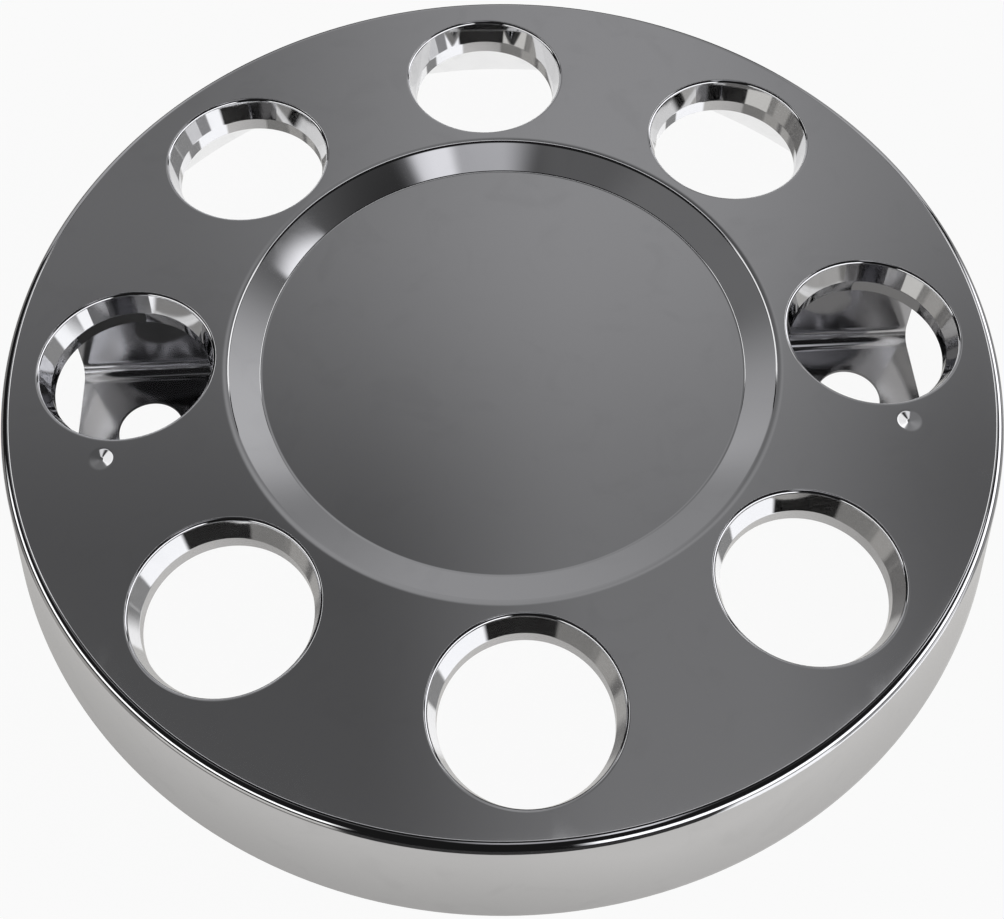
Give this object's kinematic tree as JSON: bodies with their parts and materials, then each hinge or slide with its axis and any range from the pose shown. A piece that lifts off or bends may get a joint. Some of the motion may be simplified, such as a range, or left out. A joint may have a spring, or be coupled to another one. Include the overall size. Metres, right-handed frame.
{
  "type": "truck wheel simulator",
  "caption": "Round polished sheet cover for a truck wheel: flat face with flanged nut holes, a recessed centre disc, a flared skirt and hat-section brackets behind two of the holes.",
  "frame": {"origin": "centre of the rim's plane, where the skirt and the brackets meet the wheel", "axes": "+Z out of the face along the wheel's axle, X through the two bracketed nut holes"},
  "size_m": [0.3782, 0.3782, 0.048],
  "materials": {
    "polished_cover": "mirror polished",
    "polished_bracket": "mirror polished"
  },
  "bodies": {
    "root": {"wheel_cover": "polished_cover", "left_bracket": "polished_bracket", "right_bracket": "polished_bracket"}
  },
  "joints": []
}
